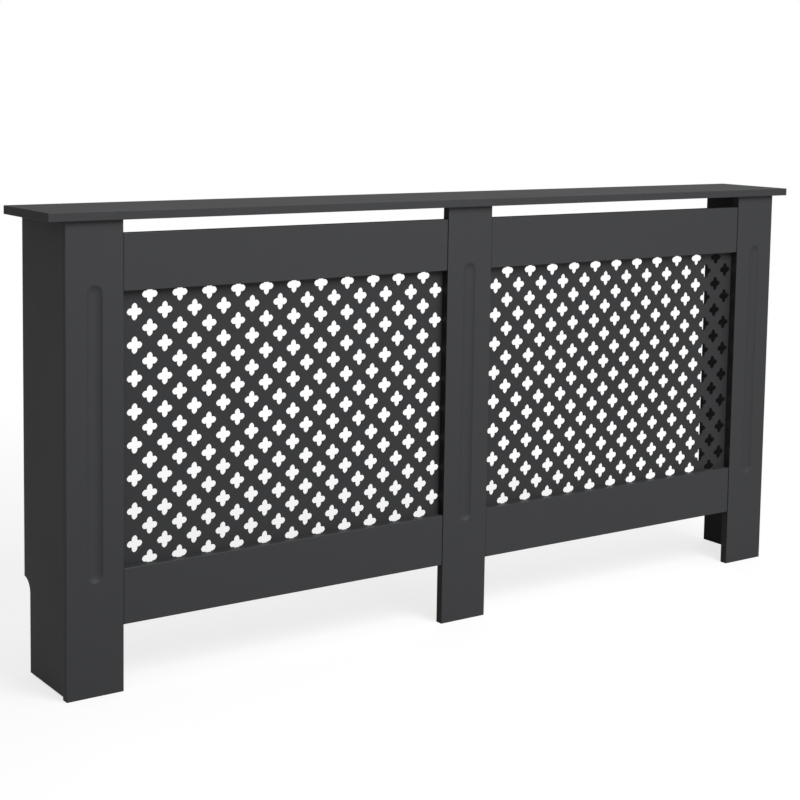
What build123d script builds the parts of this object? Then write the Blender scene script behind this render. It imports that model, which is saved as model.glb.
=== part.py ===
"""Radiator cover cabinet: a flat-pack front frame, two side panels and a shelf.

Millimetres, +Z up, +X to the right seen from the front, +Y towards the wall.
The origin is on the floor, under the middle of the shelf.
"""
import os
from math import asin, degrees, sqrt

from build123d import *

# ---------------------------------------------------------------- driving sizes
OVERALL_HEIGHT = 820.0

SHELF_LENGTH = 1720.0
SHELF_DEPTH = 190.0
SHELF_THICKNESS = 15.0
END_OVERHANG = 33.0            # shelf past the outer faces of the legs
FRONT_OVERHANG = 10.0          # shelf past the front faces of the legs
EDGE_ROUND = 1.0               # eased edges of the painted boards

LEG_WIDTH = 104.0
LEG_THICKNESS = 16.0
FLUTE_WIDTH = 28.0
FLUTE_DEPTH = 4.4
FLUTE_FROM_SHELF = 107.0       # shelf's underside to the flute's upper round end
FLUTE_FROM_FLOOR = 196.0

RAIL_HEIGHT = 97.0
RAIL_THICKNESS = 15.0
OUTLET_GAP = 23.0              # warm air slot between the shelf and the top rails
INLET_HEIGHT = 116.0           # cool air gap between the floor and the bottom rails

SIDE_THICKNESS = 15.0
SIDE_FLOOR_GAP = 5.0
SKIRTING_DEPTH = 25.0          # also the radius of the hollow curve at the cut-out's top
SKIRTING_HEIGHT = 146.0        # straight part of the cut-out, from the floor

SHEET_THICKNESS = 3.0
SHEET_LAP_SIDE = 25.0          # sheet hidden behind each leg
SHEET_LAP_RAIL = 30.0          # sheet hidden behind each rail
HOLE_PITCH = 57.0              # between holes of one row; rows are half of this apart
LOBE_ROOT = 5.8                # corner between two lobes, from each of the hole's centre lines
LOBE_TIP = 15.0                # hole's centre to a lobe's tip
LOBE_RADIUS = 7.4              # each side of a lobe is one arc
PATTERN_DROP = 1.5             # pattern's centre below the opening's centre
PATTERN_SHIFTS = {"left": 6.5, "right": 4.0}    # and to the right of it: each sheet is cut by itself

BATTEN_SIDE_GAP = 2.0          # between the batten and each grille sheet's edge
BATTEN_THICKNESS = 20.0
BATTEN_FLOOR_GAP = 40.0

DOWEL_DIAMETER = 8.0
DOWEL_CHAMFER = 1.0
DOWEL_FIT = 0.05               # radial clearance of a dowel or a screw in its hole
DOWEL_END_GAP = 0.5            # glue space past a dowel's end
RAIL_DOWEL_LENGTH = 40.0
RAIL_DOWEL_SPACING = 60.0
EDGE_DOWEL_LENGTH = 30.0
EDGE_DOWEL_IN_FACE = 10.0      # part of an edge dowel that stands in a board's face
LOWER_CORNER_DOWEL_HEIGHT = 120.0
UPPER_CORNER_DOWEL_DROP = 355.0    # below the shelf's underside
LEG_DOWEL_SPACING = 60.0       # the pair in the top of each leg
SIDE_DOWEL_FROM_WALL = 35.0    # dowel in the top edge of each side panel

CAM_DIAMETER = 14.9
CAM_BELOW_BOLT = 4.7           # cam's bottom to the bolt's axis, which is in the panel's middle
CAM_FIT = 0.05                 # radial running clearance in the bore
CAM_END_GAP = 0.2              # under the cam and above it
CAM_FROM_EDGE = 34.0           # cam's axis to the edge that the bolt enters
CAM_FLOOR = 0.9
CAM_CHAMBER_RADIUS = 5.6
CAM_ECCENTRICITY = 0.4         # the chamber stands off the axis, which draws the bolt in
CAM_SLOT_CLEARANCE = 0.3       # round the bolt's neck
CAM_ENTRY_CLEARANCE = 0.3      # round the bolt's head
CAM_CUT_PAST = 1.0             # cutting tools run this far past the cam's side
CAM_RECESS_LENGTH = 7.0
CAM_RECESS_WIDTH = 1.4
CAM_RECESS_DEPTH = 2.2
LOWER_CORNER_CAM_HEIGHT = 240.0
UPPER_CORNER_CAM_DROP = 165.0  # below the shelf's underside
SHELF_CAM_FROM_LEG = 39.0      # cam on a side panel's top edge, behind the leg's back

BOLT_NECK_DIAMETER = 5.0
BOLT_THREAD_DIAMETER = 6.0
BOLT_THREAD_LENGTH = 10.0
BOLT_HEAD_DIAMETER = 7.0
BOLT_HEAD_LENGTH = 3.0
BOLT_HEAD_REACH = 3.5          # cam's axis to the head's pulling face
BOLT_HOLE_DIAMETER = 8.0       # in the board's edge

SHEET_SCREW_DIAMETER = 3.0
SHEET_SCREW_LENGTH = 12.0
SHEET_SCREW_HEAD = 6.0
SHEET_SCREW_FROM_EDGE = 10.0
SHEET_SCREWS_ON_RAIL = 5
SHEET_SCREWS_ON_LEG = 3

BATTEN_SCREW_DIAMETER = 4.0
BATTEN_SCREW_LENGTH = 30.0
BATTEN_SCREW_HEAD = 8.0
BATTEN_SCREWS = 4
BATTEN_SCREW_FROM_END = 60.0

BRACKET_THICKNESS = 2.0
BRACKET_FLANGE = 30.0
BRACKET_BEND_RADIUS = 1.5
WALL_BRACKET_WIDTH = 50.0
WALL_BRACKET_DROP = 100.0      # shelf's underside to a wall bracket's centre
SHELF_BRACKET_WIDTH = 16.0
BRACKET_HOLE_DIAMETER = 4.5
WALL_HOLE_DIAMETER = 5.5
BRACKET_HOLE_SPACING = 30.0    # along a wall bracket
BRACKET_HOLE_FROM_FACE = 18.0  # hole's centre to the outside of the other flange
BRACKET_SCREW_DIAMETER = 4.0
BRACKET_SCREW_LENGTH = 12.0
BRACKET_SCREW_HEAD = 7.6

SCREW_HEAD_SHARE = 0.6         # height of a screw's head as a share of its diameter
SCREW_RECESS_WIDTH = 0.9       # arms of the cross in a screw's head
SCREW_RECESS_SHARE = 0.6       # arm's length as a share of the head

# ---------------------------------------------------------------- worked-out places
SHELF_UNDERSIDE = OVERALL_HEIGHT - SHELF_THICKNESS
SHELF_FRONT = -SHELF_DEPTH / 2
WALL_PLANE = SHELF_DEPTH / 2
LEG_FRONT = SHELF_FRONT + FRONT_OVERHANG
LEG_BACK = LEG_FRONT + LEG_THICKNESS
RAIL_FRONT = LEG_BACK - RAIL_THICKNESS
BODY_HALF = SHELF_LENGTH / 2 - END_OVERHANG
LEG_CENTRES = {"left": -(BODY_HALF - LEG_WIDTH / 2), "centre": 0.0, "right": BODY_HALF - LEG_WIDTH / 2}
TOP_RAIL = (SHELF_UNDERSIDE - OUTLET_GAP - RAIL_HEIGHT, SHELF_UNDERSIDE - OUTLET_GAP)
BOTTOM_RAIL = (INLET_HEIGHT, INLET_HEIGHT + RAIL_HEIGHT)
OPENING_LEFT = (-(BODY_HALF - LEG_WIDTH), -LEG_WIDTH / 2)
OPENINGS = {"left": OPENING_LEFT, "right": (-OPENING_LEFT[1], -OPENING_LEFT[0])}
SIDES = {"left": -1, "right": 1}
SIDE_INNER = BODY_HALF - SIDE_THICKNESS
SIDE_MIDDLE = BODY_HALF - SIDE_THICKNESS / 2
RAIL_MIDDLE = RAIL_FRONT + RAIL_THICKNESS / 2
LEG_MIDDLE = LEG_FRONT + LEG_THICKNESS / 2
SHEET_BACK = LEG_BACK + SHEET_THICKNESS
BATTEN_BACK = LEG_BACK + BATTEN_THICKNESS
SIDE_DOWEL_Y = WALL_PLANE - SIDE_DOWEL_FROM_WALL
SHELF_CAM_Y = LEG_BACK + SHELF_CAM_FROM_LEG
OPENING_WIDTH = OPENING_LEFT[1] - OPENING_LEFT[0]
OPENING_HEIGHT = TOP_RAIL[0] - BOTTOM_RAIL[1]
HOLE_COLUMNS = int((OPENING_WIDTH - 2 * LOBE_TIP) / HOLE_PITCH) + 1     # in a long row
HOLE_ROWS = int(OPENING_HEIGHT / (HOLE_PITCH / 2)) + 1
FLUTE_LENGTH = SHELF_UNDERSIDE - FLUTE_FROM_SHELF - FLUTE_FROM_FLOOR
BATTEN_WIDTH = LEG_WIDTH - 2 * (SHEET_LAP_SIDE + BATTEN_SIDE_GAP)
CORNER_DOWEL_HEIGHTS = (LOWER_CORNER_DOWEL_HEIGHT, SHELF_UNDERSIDE - UPPER_CORNER_DOWEL_DROP)
WALL_BRACKET_CENTRE = SHELF_UNDERSIDE - WALL_BRACKET_DROP
CAM_HEIGHT = SIDE_THICKNESS / 2 - CAM_END_GAP + CAM_BELOW_BOLT
CAM_BORE_DEPTH = CAM_HEIGHT + 2 * CAM_END_GAP
CAM_NAMES = {"lower_corner": LOWER_CORNER_CAM_HEIGHT,
             "upper_corner": SHELF_UNDERSIDE - UPPER_CORNER_CAM_DROP}

X_AXIS = Vector(1, 0, 0)
Y_AXIS = Vector(0, 1, 0)
Z_AXIS = Vector(0, 0, 1)


# ---------------------------------------------------------------- shared shapes
def board(x, y, z):
    """A square-edged board between (low, high) limits on each axis."""
    size = [high - low for low, high in (x, y, z)]
    centre = [(high + low) / 2 for low, high in (x, y, z)]
    return Pos(*centre) * Box(*size)


def front_edges(solid):
    """The edges of a board's front face."""
    return solid.faces().sort_by(Axis.Y)[0].edges()


def facing(at, direction, across=None):
    """Place a shape so that its own +Z points along direction, from at."""
    return Plane(origin=at, x_dir=across, z_dir=direction).location


def rod(at, direction, diameter, length):
    """A round rod, or the tool that drills its hole, from at along direction."""
    return facing(at, direction) * Pos(0, 0, length / 2) * Cylinder(diameter / 2, length)


def hole(at, direction, diameter, length):
    """A drill for something of this diameter, with the shared clearance round it."""
    return rod(at, direction, diameter + 2 * DOWEL_FIT, length)


def dowel(start, direction, length):
    """A wooden dowel with chamfered ends."""
    pin = Cylinder(DOWEL_DIAMETER / 2, length)
    pin = chamfer(pin.edges().filter_by(GeomType.CIRCLE), DOWEL_CHAMFER)
    return facing(start, direction) * Pos(0, 0, length / 2) * pin


def screw(under_head, direction, diameter, length, head):
    """A pan-head wood screw: under_head is where its shank enters, direction is the way it goes in."""
    head_height = diameter * SCREW_HEAD_SHARE
    point = diameter
    outline = Polyline((0, -head_height), (head / 2 - head_height / 2, -head_height), (head / 2, 0),
                       (diameter / 2, 0), (diameter / 2, length - point), (0, length), close=True)
    body = revolve(Plane.XZ * make_face(outline), Axis.Z)
    arm = head * SCREW_RECESS_SHARE
    for size in ((arm, SCREW_RECESS_WIDTH), (SCREW_RECESS_WIDTH, arm)):
        body -= Pos(0, 0, -head_height) * Box(*size, head_height)
    return facing(under_head, direction) * body


# ---------------------------------------------------------------- joint places
def rail_dowels():
    """Start points of the dowels between rails and legs, all pointing along +X."""
    places = []
    for low, high in (TOP_RAIL, BOTTOM_RAIL):
        for z in ((low + high - RAIL_DOWEL_SPACING) / 2, (low + high + RAIL_DOWEL_SPACING) / 2):
            for opening in OPENINGS.values():
                places += [(x - RAIL_DOWEL_LENGTH / 2, RAIL_MIDDLE, z) for x in opening]
    return places


def rail_dowel_hole(at):
    """The drill for one rail dowel, with glue space at both ends."""
    return hole((at[0] - DOWEL_END_GAP, at[1], at[2]), X_AXIS, DOWEL_DIAMETER,
                RAIL_DOWEL_LENGTH + 2 * DOWEL_END_GAP)


def corner_dowels():
    """Start points of the dowels between legs and side panels, all pointing along +Y."""
    return [(side * SIDE_MIDDLE, LEG_BACK - EDGE_DOWEL_IN_FACE, z)
            for side in SIDES.values() for z in CORNER_DOWEL_HEIGHTS]


def shelf_dowels():
    """Start points of the dowels under the shelf, all pointing down."""
    top = SHELF_UNDERSIDE + EDGE_DOWEL_IN_FACE
    legs = [(centre + offset, LEG_MIDDLE, top)
            for centre in LEG_CENTRES.values() for offset in (-LEG_DOWEL_SPACING / 2, LEG_DOWEL_SPACING / 2)]
    sides = [(side * SIDE_MIDDLE, SIDE_DOWEL_Y, top) for side in SIDES.values()]
    return legs + sides


def sheet_screw_places(side):
    """Screws round one grille sheet, on the backs of the rails and legs."""
    left, right = OPENINGS[side]
    low, high = BOTTOM_RAIL[1], TOP_RAIL[0]
    out_x = SHEET_LAP_SIDE - SHEET_SCREW_FROM_EDGE
    out_z = SHEET_LAP_RAIL - SHEET_SCREW_FROM_EDGE
    step_x = (right - left) / (SHEET_SCREWS_ON_RAIL + 1)
    step_z = (high - low) / (SHEET_SCREWS_ON_LEG + 1)
    on_rails = [(left + step_x * (i + 1), z) for i in range(SHEET_SCREWS_ON_RAIL)
                for z in (low - out_z, high + out_z)]
    on_legs = [(x, low + step_z * (i + 1)) for i in range(SHEET_SCREWS_ON_LEG)
               for x in (left - out_x, right + out_x)]
    return [(x, SHEET_BACK, z) for x, z in on_rails + on_legs]


def batten_screw_places():
    """Screws up the middle of the batten, driven forwards into the centre leg."""
    low = BATTEN_FLOOR_GAP + BATTEN_SCREW_FROM_END
    step = (SHELF_UNDERSIDE - BATTEN_SCREW_FROM_END - low) / (BATTEN_SCREWS - 1)
    return [(0.0, BATTEN_BACK, low + step * i) for i in range(BATTEN_SCREWS)]


def cam_places(side):
    """Each cam of one side panel: centre on the inner face, the way its bolt comes from."""
    x = SIDES[side] * SIDE_INNER
    places = {f"{side}_{name}_cam": (Vector(x, LEG_BACK + CAM_FROM_EDGE, z), -Y_AXIS)
              for name, z in CAM_NAMES.items()}
    places[f"{side}_shelf_cam"] = (Vector(x, SHELF_CAM_Y, SHELF_UNDERSIDE - CAM_FROM_EDGE), Z_AXIS)
    return places


def inward(side):
    """From a side panel's inner face towards the middle of the cabinet."""
    return X_AXIS * -SIDES[side]


# ---------------------------------------------------------------- boards
def flute():
    """The tool for one leg's flute: a round-bottomed groove with round ends."""
    radius = (FLUTE_WIDTH ** 2 / 4 + FLUTE_DEPTH ** 2) / (2 * FLUTE_DEPTH)
    run = FLUTE_LENGTH / 2 - FLUTE_WIDTH / 2
    groove = Cylinder(radius, 2 * run) + Pos(0, 0, run) * Sphere(radius) + Pos(0, 0, -run) * Sphere(radius)
    return Pos(0, LEG_FRONT + FLUTE_DEPTH - radius, FLUTE_FROM_FLOOR + FLUTE_LENGTH / 2) * groove


def leg(name):
    """One front leg: full height, with its flute and every hole that meets it."""
    centre = LEG_CENTRES[name]
    half = LEG_WIDTH / 2
    solid = board((centre - half, centre + half), (LEG_FRONT, LEG_BACK), (0, SHELF_UNDERSIDE))
    solid = fillet(front_edges(solid).filter_by(Axis.Z), EDGE_ROUND) - Pos(centre, 0, 0) * flute()
    tools = [rail_dowel_hole(at) for at in rail_dowels()
             if abs(at[0] + RAIL_DOWEL_LENGTH / 2 - centre) < LEG_WIDTH]
    tools += [hole((at[0], at[1] - DOWEL_END_GAP, at[2]), Y_AXIS, DOWEL_DIAMETER, EDGE_DOWEL_LENGTH)
              for at in corner_dowels() if abs(at[0] - centre) < half]
    tools += [hole(at, -Z_AXIS, DOWEL_DIAMETER, EDGE_DOWEL_LENGTH + DOWEL_END_GAP)
              for at in shelf_dowels() if abs(at[0] - centre) < half and at[1] == LEG_MIDDLE]
    if name in SIDES:
        for at, towards in cam_places(name).values():
            if towards == -Y_AXIS:
                tools.append(hole((SIDES[name] * SIDE_MIDDLE, LEG_BACK, at.Z), towards,
                                  BOLT_THREAD_DIAMETER, BOLT_THREAD_LENGTH))
        tools += sheet_screw_tools(OPENINGS[name], name, centre)
    else:
        for side, opening in OPENINGS.items():
            tools += sheet_screw_tools(opening, side, centre)
        tools += [hole((at[0], LEG_BACK, at[2]), -Y_AXIS, BATTEN_SCREW_DIAMETER,
                       BATTEN_SCREW_LENGTH - BATTEN_THICKNESS) for at in batten_screw_places()]
    for tool in tools:
        solid -= tool
    return solid


def sheet_screw_tools(opening, side, centre):
    """Pilot holes for the grille screws that enter the board round centre."""
    return [hole(at, -Y_AXIS, SHEET_SCREW_DIAMETER, SHEET_SCREW_LENGTH)
            for at in sheet_screw_places(side)
            if not opening[0] < at[0] < opening[1] and abs(at[0] - centre) < LEG_WIDTH / 2]


def rail(side, span):
    """One rail between two legs, drilled for its dowels and the grille's screws."""
    left, right = OPENINGS[side]
    solid = board(OPENINGS[side], (RAIL_FRONT, LEG_BACK), span)
    # the eased ends leave a fine groove along each leg
    solid = fillet(front_edges(solid), EDGE_ROUND)
    for at in rail_dowels():
        if span[0] < at[2] < span[1]:
            solid -= rail_dowel_hole(at)
    for at in sheet_screw_places(side):
        if span[0] < at[2] < span[1] and left < at[0] < right:
            solid -= hole(at, -Y_AXIS, SHEET_SCREW_DIAMETER, SHEET_SCREW_LENGTH)
    return solid


def shows(edge):
    """True for an edge of a side panel that meets neither the leg nor the shelf."""
    centre = edge.center()
    return centre.Y > LEG_BACK + EDGE_ROUND and centre.Z < SHELF_UNDERSIDE - EDGE_ROUND


def side_panel(side):
    """One side panel, cut away low at the rear, with its cam bores and edge holes."""
    cut_y = WALL_PLANE - SKIRTING_DEPTH
    curve_start = Vector(cut_y, SKIRTING_HEIGHT)
    curve_end = Vector(WALL_PLANE, SKIRTING_HEIGHT + SKIRTING_DEPTH)
    curve_middle = Vector(WALL_PLANE, SKIRTING_HEIGHT) + Vector(-SKIRTING_DEPTH, 0).rotate(Axis.Z, -45)
    outline = [
        ThreePointArc(curve_start, curve_middle, curve_end),
        Polyline(curve_end, (WALL_PLANE, SHELF_UNDERSIDE), (LEG_BACK, SHELF_UNDERSIDE),
                 (LEG_BACK, SIDE_FLOOR_GAP), (cut_y, SIDE_FLOOR_GAP), curve_start),
    ]
    face = Plane.YZ * make_face(outline)
    start = SIDE_INNER if side == "right" else -BODY_HALF
    solid = Pos(start, 0, 0) * extrude(face, SIDE_THICKNESS, dir=X_AXIS)
    outer_face = solid.faces().sort_by(Axis.X)[-1 if side == "right" else 0]
    solid = fillet(outer_face.edges().filter_by(shows), EDGE_ROUND)
    x = SIDES[side] * SIDE_MIDDLE
    for at in corner_dowels():
        solid -= hole(at, Y_AXIS, DOWEL_DIAMETER, EDGE_DOWEL_LENGTH + DOWEL_END_GAP)
    for at in shelf_dowels():
        if at[1] == SIDE_DOWEL_Y:
            solid -= hole(at, -Z_AXIS, DOWEL_DIAMETER, EDGE_DOWEL_LENGTH + DOWEL_END_GAP)
    for at, towards in cam_places(side).values():
        solid -= rod(at, inward(side) * -1, CAM_DIAMETER + 2 * CAM_FIT, CAM_BORE_DEPTH)
        solid -= rod((x, at.Y, at.Z), towards, BOLT_HOLE_DIAMETER, CAM_FROM_EDGE)
    for at in wall_bracket_screw_places(side):
        solid -= hole(at, inward(side) * -1, BRACKET_SCREW_DIAMETER, BRACKET_SCREW_LENGTH)
    return solid


def top_shelf():
    """The shelf, drilled from below for dowels, cam bolts and the bracket's screws."""
    solid = board((-SHELF_LENGTH / 2, SHELF_LENGTH / 2), (SHELF_FRONT, WALL_PLANE),
                  (SHELF_UNDERSIDE, OVERALL_HEIGHT))
    solid = fillet(solid.edges(), EDGE_ROUND)
    for at in shelf_dowels():
        solid -= hole((at[0], at[1], SHELF_UNDERSIDE), Z_AXIS, DOWEL_DIAMETER,
                      EDGE_DOWEL_IN_FACE + DOWEL_END_GAP)
    for side in SIDES:
        solid -= hole((SIDES[side] * SIDE_MIDDLE, SHELF_CAM_Y, SHELF_UNDERSIDE), Z_AXIS,
                      BOLT_THREAD_DIAMETER, BOLT_THREAD_LENGTH)
    for at, direction in shelf_bracket_screw_places():
        if direction == Z_AXIS:
            solid -= hole(at, direction, BRACKET_SCREW_DIAMETER, BRACKET_SCREW_LENGTH)
    return solid


def centre_batten():
    """Upright batten behind the centre leg, from near the floor to the shelf."""
    solid = board((-BATTEN_WIDTH / 2, BATTEN_WIDTH / 2), (LEG_BACK, BATTEN_BACK),
                  (BATTEN_FLOOR_GAP, SHELF_UNDERSIDE))
    for at in batten_screw_places():
        solid -= hole(at, -Y_AXIS, BATTEN_SCREW_DIAMETER, BATTEN_THICKNESS)
    for at, direction in shelf_bracket_screw_places():
        if direction == -Y_AXIS:
            solid -= hole(at, direction, BRACKET_SCREW_DIAMETER, BRACKET_SCREW_LENGTH)
    return solid


# ---------------------------------------------------------------- grille
def hole_outline():
    """One four-lobed hole, centred on the origin: eight equal arcs."""
    root, tip = Vector(LOBE_ROOT, LOBE_ROOT), Vector(LOBE_TIP, 0)
    chord = tip - root
    rise = LOBE_RADIUS - sqrt(LOBE_RADIUS ** 2 - (chord.length / 2) ** 2)
    bulge = (root + tip) * 0.5 + Vector(-chord.Y, chord.X).normalized() * rise
    edges = []
    for turn in range(0, 360, 90):
        for flip in (1, -1):
            points = [Vector(point.X, point.Y * flip).rotate(Axis.Z, turn) for point in (root, bulge, tip)]
            edges.append(Edge.make_three_point_arc(*points))
    return Wire(edges)


def pattern():
    """Hole centres round (0, 0): long rows and short rows in turn, a short row at top and bottom."""
    half_pitch = HOLE_PITCH / 2
    places = []
    for row in range(HOLE_ROWS):
        holes = HOLE_COLUMNS - 1 + row % 2
        z = (row - (HOLE_ROWS - 1) / 2) * half_pitch
        places += [((column - (holes - 1) / 2) * HOLE_PITCH, z) for column in range(holes)]
    return places


def grille(side):
    """One pierced sheet behind the rails and legs."""
    width, height = OPENING_WIDTH + 2 * SHEET_LAP_SIDE, OPENING_HEIGHT + 2 * SHEET_LAP_RAIL
    middle_x, middle_z = sum(OPENINGS[side]) / 2, (BOTTOM_RAIL[1] + TOP_RAIL[0]) / 2
    outline = hole_outline()
    holes = [Pos(x + PATTERN_SHIFTS[side], z - PATTERN_DROP, 0) * outline for x, z in pattern()]
    for x, _, z in sheet_screw_places(side):
        screw_hole = Edge.make_circle(SHEET_SCREW_DIAMETER / 2 + DOWEL_FIT)
        holes.append(Wire([Pos(x - middle_x, z - middle_z, 0) * screw_hole]))
    sheet = extrude(Face(Rectangle(width, height).face().outer_wire(), holes), SHEET_THICKNESS, dir=Z_AXIS)
    # drawn flat, then stood up with its lower side to the back
    return Plane(origin=(middle_x, SHEET_BACK, middle_z), x_dir=X_AXIS, z_dir=-Y_AXIS).location * sheet


# ---------------------------------------------------------------- cam fittings
def cam_nut(at, out, towards):
    """A cam nut at rest, which is locked: out points from its bore, towards its bolt's board."""
    chamber_top = 2 * CAM_BELOW_BOLT - CAM_FLOOR
    neck = BOLT_NECK_DIAMETER / 2 + CAM_SLOT_CLEARANCE
    entry = BOLT_HEAD_DIAMETER / 2 + CAM_ENTRY_CLEARANCE
    radius = CAM_DIAMETER / 2
    body = Pos(0, 0, CAM_HEIGHT / 2) * Cylinder(radius, CAM_HEIGHT)
    body -= (Pos(-CAM_ECCENTRICITY, 0, (CAM_FLOOR + chamber_top) / 2)
             * Cylinder(CAM_CHAMBER_RADIUS, chamber_top - CAM_FLOOR))
    # the neck's slot opens the wall from the locked side round to the entry, half a turn away
    reach = degrees(asin(neck / (CAM_CHAMBER_RADIUS - CAM_ECCENTRICITY)))
    slot = Pos(0, 0, CAM_BELOW_BOLT) * Cylinder(radius + CAM_CUT_PAST, 2 * neck, arc_size=180 + 2 * reach)
    body -= Rot(0, 0, -180 - reach) * slot
    body -= rod((0, 0, CAM_BELOW_BOLT), -X_AXIS, 2 * entry, radius + CAM_CUT_PAST)
    for size in ((CAM_RECESS_LENGTH, CAM_RECESS_WIDTH), (CAM_RECESS_WIDTH, CAM_RECESS_LENGTH)):
        body -= Pos(0, 0, CAM_HEIGHT - CAM_RECESS_DEPTH / 2) * Box(*size, CAM_RECESS_DEPTH)
    bottom = at - out * (CAM_END_GAP + CAM_HEIGHT)
    return facing(bottom, out, towards) * body


def cam_bolt(side, at, towards):
    """A cam bolt: thread in the leg or shelf, neck through the edge, head inside the cam."""
    start = Vector(SIDES[side] * SIDE_MIDDLE, at.Y, at.Z)
    head_end = start + towards * (BOLT_HEAD_REACH - BOLT_HEAD_LENGTH)
    head = rod(head_end, towards, BOLT_HEAD_DIAMETER, BOLT_HEAD_LENGTH)
    neck = rod(start + towards * BOLT_HEAD_REACH, towards, BOLT_NECK_DIAMETER,
               CAM_FROM_EDGE - BOLT_HEAD_REACH)
    thread = rod(start + towards * CAM_FROM_EDGE, towards, BOLT_THREAD_DIAMETER, BOLT_THREAD_LENGTH)
    return head + neck + thread


# ---------------------------------------------------------------- steel angles
def angle(width, holes_a, holes_b):
    """A bent steel angle: corner on the origin, flanges along +X and +Y, centred on Z.

    holes_a lie in the flange along +X and holes_b in the one along +Y, as (along, height, diameter).
    """
    t, f = BRACKET_THICKNESS, BRACKET_FLANGE
    profile = Polyline((0, 0), (f, 0), (f, t), (t, t), (t, f), (0, f), close=True)
    solid = Pos(0, 0, -width / 2) * extrude(make_face(profile), width)
    for corner, radius in ((t, BRACKET_BEND_RADIUS), (0, BRACKET_BEND_RADIUS + t)):
        place = Vector(corner, corner)
        upright = solid.edges().filter_by(Axis.Z)
        solid = fillet(upright.sort_by(lambda edge: (edge.center() - place).length)[0], radius)
    for along, height, diameter in holes_a:
        solid -= rod((along, 0, height), Y_AXIS, diameter, t)
    for along, height, diameter in holes_b:
        solid -= rod((0, along, height), X_AXIS, diameter, t)
    return solid


def bracket_rows(spacing, diameter):
    """Two holes along a flange, as (along, height, diameter)."""
    return [(BRACKET_HOLE_FROM_FACE, height, diameter) for height in (-spacing / 2, spacing / 2)]


def wall_bracket(side):
    """Angle in the rear corner of a side panel, one flange flat against the wall."""
    solid = angle(WALL_BRACKET_WIDTH, bracket_rows(BRACKET_HOLE_SPACING, WALL_HOLE_DIAMETER),
                  bracket_rows(BRACKET_HOLE_SPACING, BRACKET_HOLE_DIAMETER))
    corner = (SIDES[side] * SIDE_INNER, WALL_PLANE, WALL_BRACKET_CENTRE)
    return Plane(origin=corner, x_dir=inward(side), z_dir=Z_AXIS * SIDES[side]).location * solid


def wall_bracket_screw_places(side):
    """Points on the side panel's inner face where the bracket's screws enter."""
    y = WALL_PLANE - BRACKET_HOLE_FROM_FACE
    return [(SIDES[side] * SIDE_INNER, y, WALL_BRACKET_CENTRE + height)
            for height in (-BRACKET_HOLE_SPACING / 2, BRACKET_HOLE_SPACING / 2)]


def shelf_bracket():
    """Angle between the batten's back and the shelf's underside."""
    row = [(BRACKET_HOLE_FROM_FACE, 0, BRACKET_HOLE_DIAMETER)]
    corner = (0, BATTEN_BACK, SHELF_UNDERSIDE)
    return Plane(origin=corner, x_dir=Y_AXIS, z_dir=-X_AXIS).location * angle(SHELF_BRACKET_WIDTH, row, row)


def shelf_bracket_screw_places():
    """Where the shelf bracket's screws enter the wood, and the way each goes."""
    return [(Vector(0, BATTEN_BACK + BRACKET_HOLE_FROM_FACE, SHELF_UNDERSIDE), Z_AXIS),
            (Vector(0, BATTEN_BACK, SHELF_UNDERSIDE - BRACKET_HOLE_FROM_FACE), -Y_AXIS)]


def bracket_screw(at, direction):
    """A screw whose head bears on a bracket's flange."""
    at = Vector(*at) if isinstance(at, tuple) else at
    return screw(at - direction * BRACKET_THICKNESS, direction, BRACKET_SCREW_DIAMETER,
                 BRACKET_SCREW_LENGTH, BRACKET_SCREW_HEAD)


# ---------------------------------------------------------------- the whole cabinet
def cabinet():
    """Every node's name and its solids."""
    nodes = {"top_shelf": top_shelf(), "centre_batten": centre_batten(), "shelf_bracket": shelf_bracket()}
    for name in LEG_CENTRES:
        nodes[f"{name}_leg"] = leg(name)
    for side in SIDES:
        nodes[f"{side}_side_panel"] = side_panel(side)
        nodes[f"{side}_top_rail"] = rail(side, TOP_RAIL)
        nodes[f"{side}_bottom_rail"] = rail(side, BOTTOM_RAIL)
        nodes[f"{side}_grille"] = grille(side)
        nodes[f"{side}_wall_bracket"] = wall_bracket(side)
        nodes[f"{side}_cam_bolts"] = [cam_bolt(side, *place) for place in cam_places(side).values()]
        for name, (at, towards) in cam_places(side).items():
            nodes[name] = cam_nut(at, inward(side), towards)
        nodes[f"{side}_grille_screws"] = [screw(at, -Y_AXIS, SHEET_SCREW_DIAMETER, SHEET_SCREW_LENGTH,
                                                SHEET_SCREW_HEAD) for at in sheet_screw_places(side)]
        nodes[f"{side}_wall_bracket_screws"] = [bracket_screw(at, inward(side) * -1)
                                                for at in wall_bracket_screw_places(side)]
    nodes["shelf_bracket_screws"] = [bracket_screw(at, way) for at, way in shelf_bracket_screw_places()]
    nodes["batten_screws"] = [screw(at, -Y_AXIS, BATTEN_SCREW_DIAMETER, BATTEN_SCREW_LENGTH,
                                    BATTEN_SCREW_HEAD) for at in batten_screw_places()]
    nodes["rail_dowels"] = [dowel(at, X_AXIS, RAIL_DOWEL_LENGTH) for at in rail_dowels()]
    nodes["corner_dowels"] = [dowel(at, Y_AXIS, EDGE_DOWEL_LENGTH) for at in corner_dowels()]
    nodes["shelf_dowels"] = [dowel(at, -Z_AXIS, EDGE_DOWEL_LENGTH) for at in shelf_dowels()]
    return nodes


os.makedirs("parts", exist_ok=True)
for node, shape in cabinet().items():
    solids = shape if isinstance(shape, list) else [shape]
    solids = [solid for item in solids for solid in item.solids()]
    export_step(Compound(children=solids) if len(solids) > 1 else solids[0], f"parts/{node}.step")
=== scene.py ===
"""The looks of a radiator cover cabinet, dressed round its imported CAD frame."""

import logging
from dataclasses import dataclass
from enum import Enum
from math import radians
from typing import Any

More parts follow.
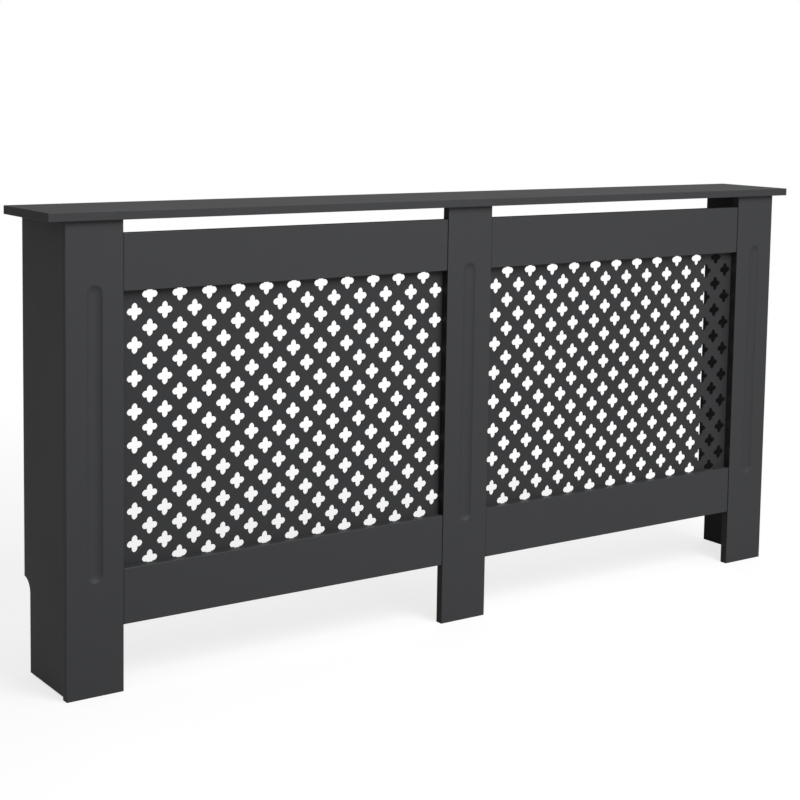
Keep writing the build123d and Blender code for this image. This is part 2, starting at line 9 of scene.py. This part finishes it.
import bpy
from mathutils import Euler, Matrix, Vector

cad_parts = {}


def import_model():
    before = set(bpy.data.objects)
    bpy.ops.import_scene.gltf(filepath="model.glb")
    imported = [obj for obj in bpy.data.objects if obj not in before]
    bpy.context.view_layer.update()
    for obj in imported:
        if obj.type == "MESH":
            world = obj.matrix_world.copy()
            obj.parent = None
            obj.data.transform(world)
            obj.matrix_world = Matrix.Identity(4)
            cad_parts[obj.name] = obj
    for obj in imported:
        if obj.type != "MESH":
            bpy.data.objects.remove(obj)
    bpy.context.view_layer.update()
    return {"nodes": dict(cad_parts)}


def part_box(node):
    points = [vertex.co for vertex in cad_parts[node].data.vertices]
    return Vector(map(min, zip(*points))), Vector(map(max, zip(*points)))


LOG = logging.getLogger("radiator_cover")

Number = int | float
Pair = tuple[Number, Number]
Triple = tuple[float, float, float]

MEAN = 0.5  # what noise varies about, and a shade halfway between two colours
FACING: Pair = (0.5, 0.8)  # a normal's part along an axis: leans its way at all, looks its way
ALONG: Pair = (0.4, 0.75)  # the same, for the faces at the ends and edges of a board
ON_OFF: Pair = (1.0, 0.0)  # turns a ramp round
DARKER, LIGHTER = 0.88, 1.12  # how far a coat of paint strays from its colour
HAIR = 0.0004  # metres; the crest of an arris


# ------------------------------------------------------------------ shader expressions
@dataclass(frozen=True)
class Field:
    """A shader socket that can stand in a Python expression."""

    graph: "Graph"
    socket: bpy.types.NodeSocket

    def _math(self, operation: str, first: Any, second: Any = None) -> "Field":
        """Adds one Math node on one or two operands."""
        inputs = {0: first} if second is None else {0: first, 1: second}
        return self.graph.add("ShaderNodeMath", {"operation": operation}, inputs)

    def __add__(self, other: Any) -> "Field":
        """self + other."""
        return self._math("ADD", self, other)

    __radd__ = __add__

    def __mul__(self, other: Any) -> "Field":
        """self * other."""
        return self._math("MULTIPLY", self, other)

    __rmul__ = __mul__

    def __sub__(self, other: Any) -> "Field":
        """self - other."""
        return self._math("SUBTRACT", self, other)

    def __rsub__(self, other: Any) -> "Field":
        """other - self."""
        return self._math("SUBTRACT", other, self)

    def size(self) -> "Field":
        """The value without its sign."""
        return self._math("ABSOLUTE", self)

    def sign(self) -> "Field":
        """-1, 0 or 1."""
        return self._math("SIGN", self)

    def least(self, other: Any) -> "Field":
        """The smaller of two values."""
        return self._math("MINIMUM", self, other)

    def split(self) -> tuple["Field", "Field", "Field"]:
        """The X, Y and Z parts of a vector."""
        node = self.graph.add("ShaderNodeSeparateXYZ", {}, {0: self}).socket.node
        x, y, z = (Field(self.graph, node.outputs[axis]) for axis in "XYZ")
        return x, y, z

    def ramp(self, low: Number, high: Number, to_low: Number = 0.0,
             to_high: Number = 1.0) -> "Field":
        """Runs smoothly from to_low at low to to_high at high.

        Args:
            low: the value where the run starts.
            high: the value where it ends.
            to_low: what comes out at and below low.
            to_high: what comes out at and above high.

        Returns:
            The mapped value.
        """
        inputs = {"Value": self, "From Min": low, "From Max": high,
                  "To Min": to_low, "To Max": to_high}
        return self.graph.add("ShaderNodeMapRange", {"interpolation_type": "SMOOTHSTEP"}, inputs)


@dataclass(frozen=True)
class Grain:
    """The size and kind of a noise.

    waves is how many there are to the metre, detail how many finer noises ride on it, and roughness
    how strong those are.
    """

    waves: float
    detail: float = 3.0
    roughness: float = 0.5


class Graph:
    """The node tree of a material or of the world."""

    def __init__(self, tree: bpy.types.NodeTree) -> None:
        """Empties the tree."""
        self.tree = tree
        tree.nodes.clear()

    def add(self, kind: str, settings: dict[str, Any] | None = None,
            inputs: dict[str | int, Any] | None = None, output: str | int = 0) -> Field:
        """Adds any node: settings first, then the values or links of its sockets.

        Args:
            kind: the node's type name.
            settings: attributes of the node, such as a Math node's operation.
            inputs: socket name or number to a value or a Field.
            output: which output comes back.

        Returns:
            The chosen output as a Field, empty where the node has none.
        """
        node = self.tree.nodes.new(kind)
        for name, value in (settings or {}).items():
            setattr(node, name, value)
        for name, value in (inputs or {}).items():
            socket = node.inputs[name]
            if isinstance(value, Field):
                self.tree.links.new(value.socket, socket)
            else:
                socket.default_value = value
        return Field(self, node.outputs[output] if len(node.outputs) else None)

    def place(self, stretch: Triple = (1.0, 1.0, 1.0)) -> Field:
        """Object coordinates in metres, stretched along the axes."""
        coordinates = self.add("ShaderNodeTexCoord", output="Object")
        return self.add("ShaderNodeMapping", {}, {"Vector": coordinates, "Scale": stretch})

    def facing(self) -> tuple[Field, Field, Field]:
        """The X, Y and Z parts of the surface's normal."""
        return self.add("ShaderNodeTexCoord", output="Normal").split()

    def noise(self, at: Field, grain: Grain) -> Field:
        """Smooth noise between 0 and 1."""
        inputs = {"Vector": at, "Scale": grain.waves, "Detail": grain.detail,
                  "Roughness": grain.roughness}
        return self.add("ShaderNodeTexNoise", {}, inputs)

    def blend(self, factor: Any, first: Any, second: Any) -> Field:
        """A colour between first and second, from the sockets that a Mix node keeps for colours."""
        inputs = {0: factor, 6: first, 7: second}
        return self.add("ShaderNodeMix", {"data_type": "RGBA"}, inputs, output=2)

    def bump(self, height: Field, depth: float, strength: float = 0.6) -> Field:
        """A normal that follows a height of so many metres."""
        inputs = {"Strength": strength, "Distance": depth, "Height": height}
        return self.add("ShaderNodeBump", {}, inputs)


def rgba(colour: Triple, gain: float = 1.0) -> tuple[float, float, float, float]:
    """A linear colour with its alpha, made lighter or darker by gain."""
    red, green, blue = (channel * gain for channel in colour)
    return red, green, blue, 1.0


# ------------------------------------------------------------------ finishes
@dataclass(frozen=True)
class Finish:
    """What every finish of the cabinet shares: a name and one Principled shader."""

    name: str

    def material(self) -> bpy.types.Material:
        """Makes the Blender material.

        Returns:
            The finished material.
        """
        made = bpy.data.materials.new(self.name)
        made.use_nodes = True
        graph = Graph(made.node_tree)
        shader = graph.add("ShaderNodeBsdfPrincipled", {}, self.inputs(graph))
        graph.add("ShaderNodeOutputMaterial", {}, {"Surface": shader})
        return made

    def inputs(self, graph: Graph) -> dict[str, Any]:
        """The shader's sockets; each finish fills its own."""
        raise NotImplementedError


class BoardFace(Enum):
    """Which way a board's show face looks."""

    UP = "up"
    FORWARD = "forward"
    OUTWARD = "outward"


@dataclass(frozen=True)
class BoardPaint(Finish):
    """Satin sprayed paint on one board.

    It is smooth on the show face and shows fibres on the cut edges. Its colour carries painted
    shade inside the cabinet, in the joints and on the cut edges that face an opening, and a painted
    highlight along the board's arrises, where the coat is also a little polished. Lengths are in
    metres, and low and high are the board's corners.
    """

    face: BoardFace
    low: Triple
    high: Triple
    colour: Triple = (0.036, 0.0368, 0.0390)
    # painted shade on the faces inside the cabinet
    inside_gain: float = 0.14
    # painted shade on the cut edges that face an opening, and in the joints
    edge_shade_gain: float = 0.14
    thin_ends: float = 0.0
    thin_edges: float = 0.0
    joint_shade: float = 0.0
    joint_reach: Pair = (0.0024, 0.0006)
    outer_face: Pair = (0.822, 0.823)
    arris_reach: float = 0.0022
    cloud: Grain = Grain(2.3, 4.0, 0.55)
    cloud_share: float = 0.34
    speck: Grain = Grain(1700.0, 1.0)
    speck_share: float = 0.12
    fibre: Grain = Grain(1500.0, 2.0, 0.7)
    fibre_share: float = 0.22
    fibre_stretch: Triple = (1.0, 1.0, 1.0)
    # patches of painted highlight, and a glossier coat, along the arrises
    rub_and_highlight: Grain = Grain(14.0, 3.0, 0.6)
    rub_and_highlight_from: Pair = (0.3, 0.62)
    rub_and_highlight_to: Pair = (0.35, 1.0)
    arris_highlight_share: float = 0.8
    roughness: float = 0.56
    streak: Grain = Grain(7.0)
    streak_roughness: float = 0.12
    cut_roughness: float = 0.06
    inside_roughness: float = 0.2
    wear_roughness: float = 0.1
    peel: Grain = Grain(430.0, 2.0, 0.45)
    peel_depth: float = 0.00005
    cut_fibre_height: float = 0.8
    inside_fibre_height: float = 0.5
    sheen_level: float = 0.3

    def inputs(self, graph: Graph) -> dict[str, Any]:
        """Cloudy spray coat, orange peel, fibres on cut edges, a flatter coat inside, painted shade
        inside, on opening edges and in joints, and a painted highlight along the arrises.
        """
        at = graph.place()
        facing = graph.facing()
        out = self.outward(facing, at)
        cut = out.size().ramp(*FACING, *ON_OFF)
        inside = (out * -1).ramp(*FACING)
        # painted highlight along the arrises, in patches; the same mask lowers the roughness there
        rubbed_and_highlit = graph.noise(at, self.rub_and_highlight).ramp(*self.rub_and_highlight_from, *self.rub_and_highlight_to)
        arris = self.arrises(at) * rubbed_and_highlit
        cloud = graph.noise(at, self.cloud) - MEAN
        speck = graph.noise(at, self.speck) - MEAN
        fibre = graph.noise(graph.place(self.fibre_stretch), self.fibre)
        shade = (cloud * self.cloud_share + speck * self.speck_share
                 + (fibre - MEAN) * cut * self.fibre_share + arris * self.arris_highlight_share + MEAN)
        coat = graph.blend(shade, rgba(self.colour, DARKER), rgba(self.colour, LIGHTER))
        # painted shade on the cut edges that face an opening and in the joints
        colour = graph.blend(self.thin(facing, at), coat, rgba(self.colour, self.edge_shade_gain))
        # painted shade on the faces inside the cabinet
        colour = graph.blend(inside, colour, rgba(self.colour, self.inside_gain))
        streak = graph.noise(at, self.streak) - MEAN
        rough = (streak * self.streak_roughness + cut * self.cut_roughness
                 + inside * self.inside_roughness - arris * self.wear_roughness + self.roughness)
        peel = graph.noise(at, self.peel)
        rise = cut * self.cut_fibre_height + inside * self.inside_fibre_height
        return {"Base Color": colour, "Roughness": rough,
                "Normal": graph.bump(peel + fibre * rise, self.peel_depth),
                "Specular IOR Level": self.sheen_level}

    def outward(self, facing: tuple[Field, Field, Field], at: Field) -> Field:
        """1 on the show face, 0 on the cut edges and -1 on the face inside the cabinet.

        Args:
            facing: the X, Y and Z parts of the surface's normal.
            at: object coordinates.

        Returns:
            How far the surface looks the way of the show face.
        """
        x, y, z = facing
        if self.face is BoardFace.UP:
            return z
        if self.face is BoardFace.FORWARD:
            return y * -1
        return x * at.split()[0].sign()

    def thin(self, facing: tuple[Field, Field, Field], at: Field) -> Field:
        """Painted shade: the cut edges that face an opening, and a board's joints.

        The outer faces of the two end legs, which meet the side panels, are no such edges.

        Args:
            facing: the X, Y and Z parts of the surface's normal.
            at: object coordinates.

        Returns:
            1 where the painted shade is darkest.
        """
        x = at.split()[0]
        within = x.size().ramp(*self.outer_face, self.thin_ends, 0.0)
        half = (self.high[0] - self.low[0]) / 2
        start, end = self.joint_reach
        joint = (x - (self.low[0] + half)).size().ramp(half - start, half - end)
        edges = facing[2].size().ramp(*ALONG) * self.thin_edges
        return facing[0].size().ramp(*ALONG) * within + edges + joint * self.joint_shade

    def arrises(self, at: Field) -> Field:
        """1 along the board's long and short edges, 0 a couple of millimetres from them."""
        near = []
        for along, low, high in zip(at.split(), self.low, self.high):
            half = (high - low) / 2
            off_centre = (along - (low + high) / 2).size()
            near.append(off_centre.ramp(half - self.arris_reach, half - HAIR))
        x, y, z = near
        return (x * y + y * z + z * x).least(1.0)


@dataclass(frozen=True)
class SheetPaint(Finish):
    """The same paint on the slim pierced sheets, darkened as painted shade for their recess behind
    the frame, and drier on the routed rims of the holes.
    """

    # darker than the boards' paint: painted shade for the recessed sheets
    colour: Triple = (0.0285, 0.0292, 0.031)
    # painted shade on the sheets' back faces
    inside_gain: float = 0.85
    cloud: Grain = Grain(3.1, 4.0, 0.55)
    cloud_share: float = 0.36
    speck: Grain = Grain(900.0, 2.0)
    speck_share: float = 0.14
    fibre: Grain = Grain(1300.0, 2.0, 0.7)
    fibre_share: float = 0.3
    roughness: float = 0.6
    cloud_roughness: float = 0.12
    rim_roughness: float = 0.12
    back_roughness: float = 0.18
    back_fibre_height: float = 0.5
    depth: float = 0.00005
    sheen_level: float = 0.28

    def inputs(self, graph: Graph) -> dict[str, Any]:
        """Even coat with painted shade behind, and fine fibres on the holes' rims."""
        at = graph.place()
        y = graph.facing()[1]
        rim = y.size().ramp(*FACING, *ON_OFF)
        back = y.ramp(*FACING)
        cloud = graph.noise(at, self.cloud) - MEAN
        fibre = graph.noise(at, self.fibre)
        speck = graph.noise(at, self.speck)
        shade = (cloud * self.cloud_share + (speck - MEAN) * self.speck_share
                 + (fibre - MEAN) * rim * self.fibre_share + MEAN)
        coat = graph.blend(shade, rgba(self.colour, DARKER), rgba(self.colour, LIGHTER))
        # painted shade on the sheets' back faces
        colour = graph.blend(back, coat, rgba(self.colour, self.inside_gain))
        rough = (cloud * self.cloud_roughness + rim * self.rim_roughness
                 + back * self.back_roughness + self.roughness)
        height = speck + fibre * (rim + back * self.back_fibre_height)
        return {"Base Color": colour, "Roughness": rough, "Normal": graph.bump(height, self.depth),
                "Specular IOR Level": self.sheen_level}


@dataclass(frozen=True)
class Zinc(Finish):
    """Zinc, either plated on steel or die-cast and dull."""

    colour: Triple = (0.55, 0.56, 0.55)
    bloom: Grain = Grain(60.0, 4.0, 0.6)
    bloom_from: Pair = (0.3, 0.7)
    bloom_gains: Pair = (0.84, 1.08)
    bloom_roughness: float = 0.22
    grain: Grain = Grain(420.0, 3.0, 0.6)
    grain_roughness: float = 0.14
    grain_depth: float = 0.00004
    stain: Grain = Grain(25.0, 5.0, 0.7)
    stain_from: Pair = (0.58, 0.75)
    stain_gain: float = 0.5
    stain_share: float = 0.35
    stain_roughness: float = 0.12
    roughness: float = 0.34

    def inputs(self, graph: Graph) -> dict[str, Any]:
        """Cloudy bloom over fine grain, with a few darker stains."""
        at = graph.place()
        bloom = graph.noise(at, self.bloom)
        grain = graph.noise(at, self.grain)
        stain = graph.noise(at, self.stain).ramp(*self.stain_from)
        dull, bright = (rgba(self.colour, gain) for gain in self.bloom_gains)
        plate = graph.blend(bloom.ramp(*self.bloom_from), dull, bright)
        colour = graph.blend(stain * self.stain_share, plate, rgba(self.colour, self.stain_gain))
        rough = ((bloom - MEAN) * self.bloom_roughness + (grain - MEAN) * self.grain_roughness
                 + stain * self.stain_roughness + self.roughness)
        return {"Base Color": colour, "Roughness": rough, "Metallic": 1.0,
                "Normal": graph.bump(grain, self.grain_depth)}


@dataclass(frozen=True)
class Beech(Finish):
    """Bare turned beech with its short dark flecks along the grain."""

    light: Triple = (0.66, 0.46, 0.29)
    dark: Triple = (0.42, 0.25, 0.13)
    stretch: Triple = (6.0, 90.0, 90.0)
    rings: Grain = Grain(6.0, 4.0, 0.6)
    rings_from: Pair = (0.35, 0.68)
    rings_gain: float = 1.25
    rings_roughness: float = 0.2
    rings_depth: float = 0.0001
    fleck: Grain = Grain(30.0, 1.0)
    fleck_from: Pair = (0.62, 0.72)
    fleck_share: float = 0.6
    roughness: float = 0.5

    def inputs(self, graph: Graph) -> dict[str, Any]:
        """Grain, flecks and a matt turned surface."""
        stretched = graph.place(self.stretch)
        rings = graph.noise(stretched, self.rings)
        fleck = graph.noise(stretched, self.fleck).ramp(*self.fleck_from)
        dark_ring = rgba(self.dark, self.rings_gain)
        wood = graph.blend(rings.ramp(*self.rings_from), rgba(self.light), dark_ring)
        return {"Base Color": graph.blend(fleck * self.fleck_share, wood, rgba(self.dark)),
                "Roughness": rings * self.rings_roughness + self.roughness,
                "Normal": graph.bump(rings, self.rings_depth)}


# a darker copy of the plated zinc: painted shade that keeps the angles from glaring under the rear
# lamp
ANGLE_STEEL: Triple = (0.25, 0.257, 0.265)
ANGLE_ROUGHNESS = 0.58


# ------------------------------------------------------------------ sub-assemblies
@dataclass
class Assembly:
    """A group of the cabinet's pieces, with the CAD nodes that it dresses."""

    nodes: dict[str, bpy.types.Object]

    def dress(self, ending: str, finish: Finish) -> None:
        """Gives one finish to every node whose name has this ending.

        Args:
            ending: the end of the nodes' names.
            finish: the finish that they share.
        """
        material = finish.material()
        for name in sorted(self.nodes):
            if name.endswith(ending):
                node = self.nodes[name]
                node.data.materials.clear()
                node.data.materials.append(material)
                LOG.info("%s: %s", name, finish.name)

    def paint(self, ending: str, face: BoardFace, **changes: Any) -> None:
        """Paints each board whose name has this ending, each with a coat of its own.

        Args:
            ending: the end of the boards' names.
            face: which way their show faces look.
            changes: fields of BoardPaint that differ on these boards.
        """
        for name in sorted(self.nodes):
            if name.endswith(ending):
                low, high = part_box(name)
                coat = BoardPaint(f"{name}_paint", face, tuple(low), tuple(high), **changes)
                self.dress(name, coat)


@dataclass
class FrontFrame(Assembly):
    """Three legs and four rails with the dowels between them."""

    # painted shade inside the cabinet, on the edges that face the openings, and in the rails'
    # joints
    inside_gain: float = 0.85
    leg_end_shade: float = 0.85
    rail_end_shade: float = 1.0
    top_rail_edge_shade: float = 0.85
    joint_shade: float = 0.8
    beech: Beech = Beech("beech_across")

    def build(self) -> None:
        """Paints the boards and dresses their dowels."""
        inside = {"inside_gain": self.inside_gain}
        rail = {"thin_ends": self.rail_end_shade, "joint_shade": self.joint_shade} | inside
        self.paint("_leg", BoardFace.FORWARD, thin_ends=self.leg_end_shade, **inside)
        self.paint("_top_rail", BoardFace.FORWARD, thin_edges=self.top_rail_edge_shade, **rail)
        self.paint("_bottom_rail", BoardFace.FORWARD, **rail)
        self.dress("rail_dowels", self.beech)


@dataclass
class Shelf(Assembly):
    """The shelf, the dowels under it and the angle that ties it to the batten."""

    beech: Beech = Beech("beech_upright", stretch=(90.0, 90.0, 6.0))
    steel: Zinc = Zinc("shelf_angle_steel", colour=ANGLE_STEEL, roughness=ANGLE_ROUGHNESS)

    def build(self) -> None:
        """Paints the shelf and dresses what holds it."""
        self.paint("top_shelf", BoardFace.UP)
        self.dress("shelf_dowels", self.beech)
        self.dress("shelf_bracket", self.steel)


@dataclass
class Carcass(Assembly):
    """Side panels, batten and wall angles, behind the front frame."""

    # painted shade on the inner faces of the panels and the batten
    panel_inside_gain: float = 0.2
    batten_inside_gain: float = 0.95
    batten_fibre: Grain = Grain(700.0, 2.0, 0.7)
    batten_stretch: Triple = (1.0, 1.0, 0.04)
    beech: Beech = Beech("beech_deep", stretch=(90.0, 6.0, 90.0))
    steel: Zinc = Zinc("wall_angle_steel", colour=ANGLE_STEEL, roughness=ANGLE_ROUGHNESS)

    def build(self) -> None:
        """Paints the boards and dresses their dowels and angles."""
        self.paint("_side_panel", BoardFace.OUTWARD, inside_gain=self.panel_inside_gain)
        self.paint("_batten", BoardFace.FORWARD, inside_gain=self.batten_inside_gain,
                   fibre=self.batten_fibre, fibre_stretch=self.batten_stretch)
        self.dress("corner_dowels", self.beech)
        self.dress("_wall_bracket", self.steel)


@dataclass
class Grilles(Assembly):
    """The two pierced sheets."""

    coat: SheetPaint = SheetPaint("sheet_paint")

    def build(self) -> None:
        """Paints both sheets."""
        self.dress("_grille", self.coat)


@dataclass
class Fittings(Assembly):
    """Cams, their bolts and every screw."""

    plate: Zinc = Zinc("zinc_plate")
    casting: Zinc = Zinc("zinc_casting", colour=(0.62, 0.63, 0.64), roughness=0.42,
                         grain=Grain(900.0, 3.0, 0.6), grain_depth=0.0001)

    def build(self) -> None:
        """Dresses castings and plated steel."""
        self.dress("_cam", self.casting)
        self.dress("_cam_bolts", self.plate)
        self.dress("_screws", self.plate)


# ------------------------------------------------------------------ studio
@dataclass(frozen=True)
class Lamp:
    """A soft rectangular lamp.

    place is where it stands, aim what it looks at, size its width and height in metres, and power
    its watts.
    """

    name: str
    place: Triple
    aim: Triple
    size: Pair
    power: float

    def hang(self) -> None:
        """Puts the lamp into the scene, unseen by the camera itself."""
        data = bpy.data.lights.new(self.name, "AREA")
        data.shape = "RECTANGLE"
        data.size, data.size_y = self.size
        data.energy = self.power
        lamp = bpy.data.objects.new(self.name, data)
        lamp.location = self.place
        looks = Vector(self.aim) - Vector(self.place)
        lamp.rotation_euler = looks.to_track_quat("-Z", "Y").to_euler()
        lamp.visible_camera = False
        bpy.context.scene.collection.objects.link(lamp)


@dataclass
class Studio:
    """Pale floor, soft light and the camera."""

    camera_place: Triple = (-1.91739, -2.57339, 1.03088)
    camera_turn: Triple = (84.3275, -0.8196, -34.2661)
    lens: float = 74.5419
    shift: Pair = (0.03, -0.1875)
    front_lamp: Lamp = Lamp("front_lamp", (0.3, -2.2, 2.5), (0.0, 0.0, 0.45), (1.6, 1.6), 70.0)
    rear_lamp: Lamp = Lamp("rear_lamp", (1.9, 2.2, 0.24), (0.0, 0.1, 0.3), (2.6, 0.42), 50.0)
    white: Triple = (1.0, 1.0, 1.0)
    full: float = 1.0
    gloss_share: float = 0.25
    sky_from: Triple = (0.3, -0.6, 0.74)
    sky_spread: Pair = (-0.4, 0.9)
    sky_strengths: Pair = (0.10, 0.60)
    floor_size: float = 80.0
    floor_colour: Triple = (0.5, 0.5, 0.5)
    floor_lift: float = 0.74
    floor_fade: Pair = (1.2, 2.6)
    shadow_colour: Triple = (0.3, 0.3, 0.3)

    def build(self) -> None:
        """Makes the camera, the lamps, the sky and the floor."""
        self.add_camera()
        self.front_lamp.hang()
        self.rear_lamp.hang()
        self.light_sky()
        self.lay_floor()
        bpy.context.scene.view_settings.view_transform = "Standard"
        LOG.info("studio: camera, lamps, sky and floor")

    def add_camera(self) -> None:
        """The camera at the photograph's place and angle."""
        data = bpy.data.cameras.new("camera")
        data.lens = self.lens
        data.shift_x, data.shift_y = self.shift
        camera = bpy.data.objects.new("camera", data)
        camera.location = self.camera_place
        camera.rotation_euler = Euler([radians(angle) for angle in self.camera_turn])
        bpy.context.scene.collection.objects.link(camera)
        bpy.context.scene.camera = camera

    def seen(self, graph: Graph) -> Field:
        """1 for what the camera sees, and a share of it for what shines in paint and zinc."""
        camera, gloss, through = (graph.add("ShaderNodeLightPath", output=f"Is {kind} Ray")
                                  for kind in ("Camera", "Glossy", "Transmission"))
        return (camera + gloss * self.gloss_share + through).least(1.0)

    def light_sky(self) -> None:
        """White where it is seen; as a light, brightest above the front."""
        world = bpy.data.worlds.new("studio")
        world.use_nodes = True
        bpy.context.scene.world = world
        graph = Graph(world.node_tree)
        direction = graph.add("ShaderNodeTexCoord", output="Generated")
        towards = graph.add("ShaderNodeVectorMath", {"operation": "DOT_PRODUCT"},
                            {0: direction, 1: self.sky_from}, output="Value")
        strength = towards.ramp(*self.sky_spread, *self.sky_strengths)
        light = graph.add("ShaderNodeBackground", {},
                          {"Color": rgba(self.white), "Strength": strength})
        white = graph.add("ShaderNodeBackground", {},
                          {"Color": rgba(self.white), "Strength": self.full})
        mixed = graph.add("ShaderNodeMixShader", {}, {0: self.seen(graph), 1: light, 2: white})
        graph.add("ShaderNodeOutputWorld", {}, {"Surface": mixed})

    def lay_floor(self) -> None:
        """A wide plain floor that keeps the cabinet's shadow and fades to white."""
        bpy.ops.object.select_all(action="DESELECT")
        bpy.ops.mesh.primitive_plane_add(size=self.floor_size, location=(0.0, 0.0, 0.0))
        floor = bpy.context.object
        floor.name = "floor"
        made = bpy.data.materials.new("floor")
        made.use_nodes = True
        graph = Graph(made.node_tree)
        at = graph.add("ShaderNodeTexCoord", output="Object")
        away = graph.add("ShaderNodeVectorMath", {"operation": "LENGTH"}, {0: at}, output="Value")
        matt = graph.add("ShaderNodeBsdfDiffuse", {}, {"Color": rgba(self.floor_colour)})
        lift = graph.add("ShaderNodeEmission", {},
                         {"Color": rgba(self.white), "Strength": self.floor_lift})
        shadow = graph.add("ShaderNodeBsdfDiffuse", {}, {"Color": rgba(self.shadow_colour)})
        lifted = graph.add("ShaderNodeAddShader", {}, {0: shadow, 1: lift})
        white = graph.add("ShaderNodeEmission", {},
                          {"Color": rgba(self.white), "Strength": self.full})
        faded = graph.add("ShaderNodeMixShader", {},
                          {0: away.ramp(*self.floor_fade), 1: lifted, 2: white})
        mixed = graph.add("ShaderNodeMixShader", {}, {0: self.seen(graph), 1: matt, 2: faded})
        graph.add("ShaderNodeOutputMaterial", {}, {"Surface": mixed})
        floor.data.materials.append(made)


def main() -> None:
    """Loads the frame, dresses it and sets the studio round it."""
    logging.basicConfig(level=logging.INFO, format="%(name)s: %(message)s")
    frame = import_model()
    for assembly in (FrontFrame, Shelf, Carcass, Grilles, Fittings):
        assembly(frame["nodes"]).build()
    Studio().build()


if __name__ == "__main__":
    main()
